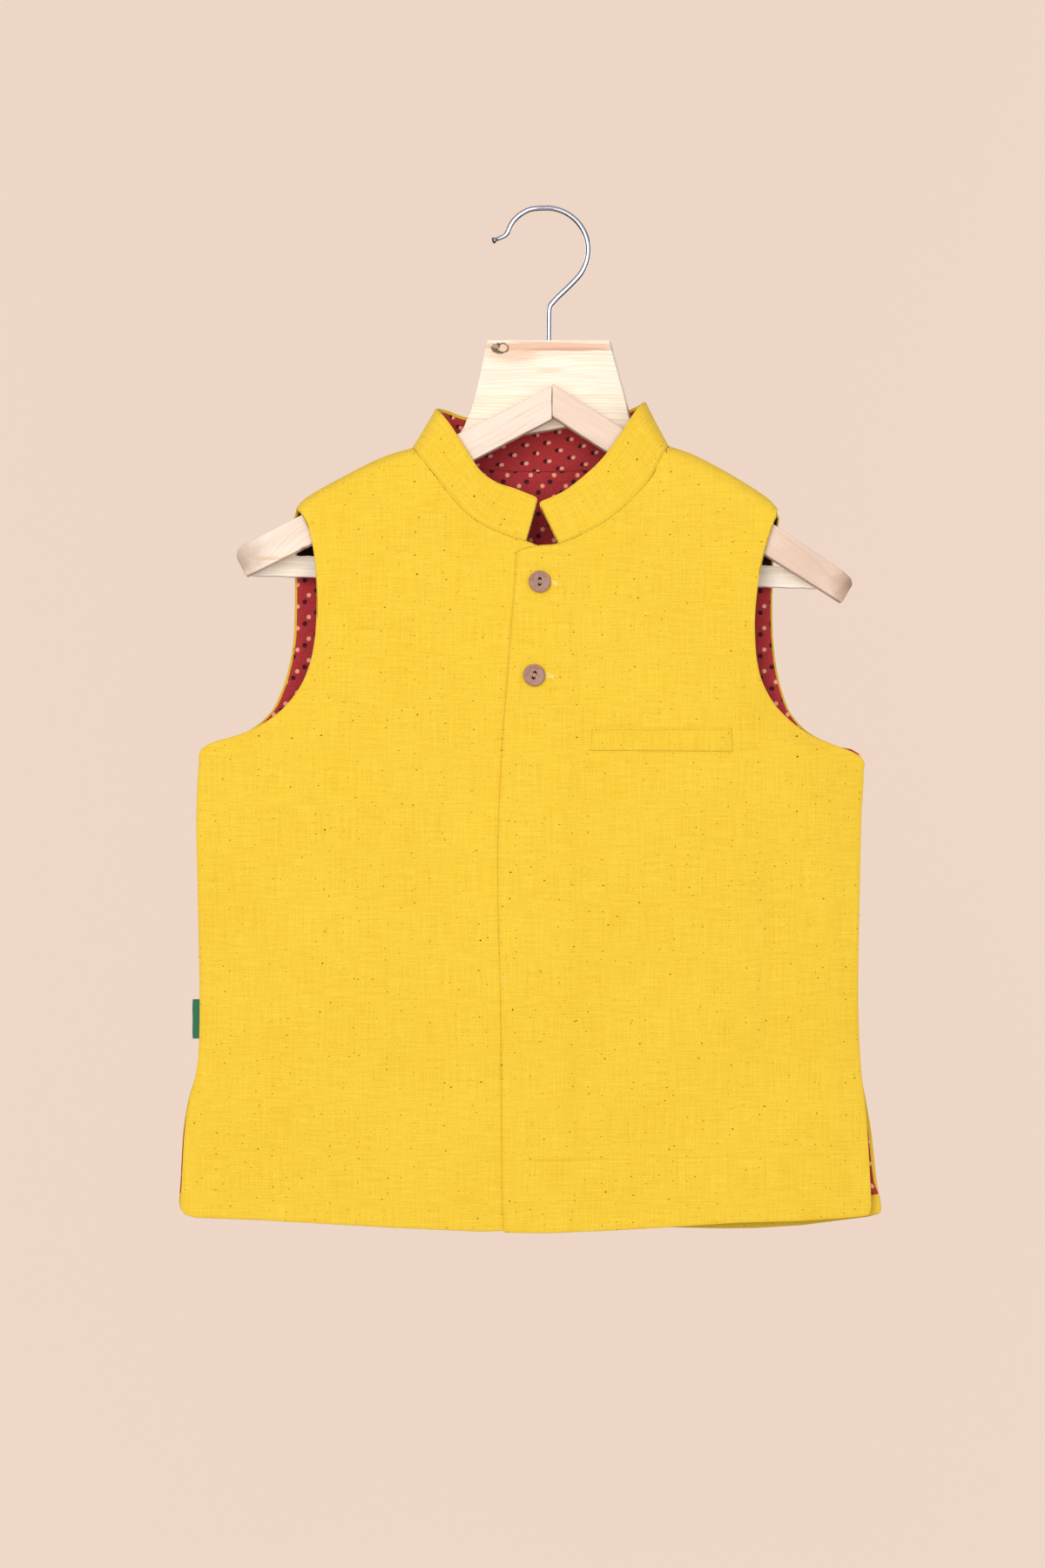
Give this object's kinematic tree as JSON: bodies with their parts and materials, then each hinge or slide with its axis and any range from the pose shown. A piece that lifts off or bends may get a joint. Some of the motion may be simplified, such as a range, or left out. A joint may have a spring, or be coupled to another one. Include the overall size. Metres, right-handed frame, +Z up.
{
  "type": "sleeveless band-collar jacket on a wooden hanger",
  "caption": "Child's sleeveless jacket with a band collar, lapped front, chest welt pocket and side vents, lined, hanging on a hand-made wooden hanger with a wire hook.",
  "frame": {"origin": "underside of the hook's crown, where the hanger bears on its rail", "axes": "+Z up, +X to the right of someone facing the jacket's front, the front faces -Y"},
  "size_m": [0.4066, 0.0416, 0.5937],
  "materials": {
    "cloth_yellow": "matt handloom cotton with seed flecks and slubs",
    "lining_red": "matt cotton printed with small cream and black dots",
    "pine_board": "planed, unvarnished pine",
    "pine_batten": "sawn, unvarnished, pinkish softwood",
    "steel_wire": "bright drawn wire",
    "coconut_shell": "turned coconut shell, satin",
    "tape_green": "plain woven tape"
  },
  "bodies": {
    "root": {"front_right": "cloth_yellow", "front_left": "cloth_yellow", "back": "cloth_yellow", "collar": "cloth_yellow", "welt": "cloth_yellow", "lining_front_right": "lining_red", "lining_front_left": "lining_red", "lining_back": "lining_red", "collar_lining": "lining_red", "button_1": "coconut_shell", "button_2": "coconut_shell", "label": "tape_green", "hanger_board": "pine_board", "hanger_bar": "pine_board", "arm_left": "pine_batten", "arm_right": "pine_batten", "hook": "steel_wire"}
  },
  "joints": []
}
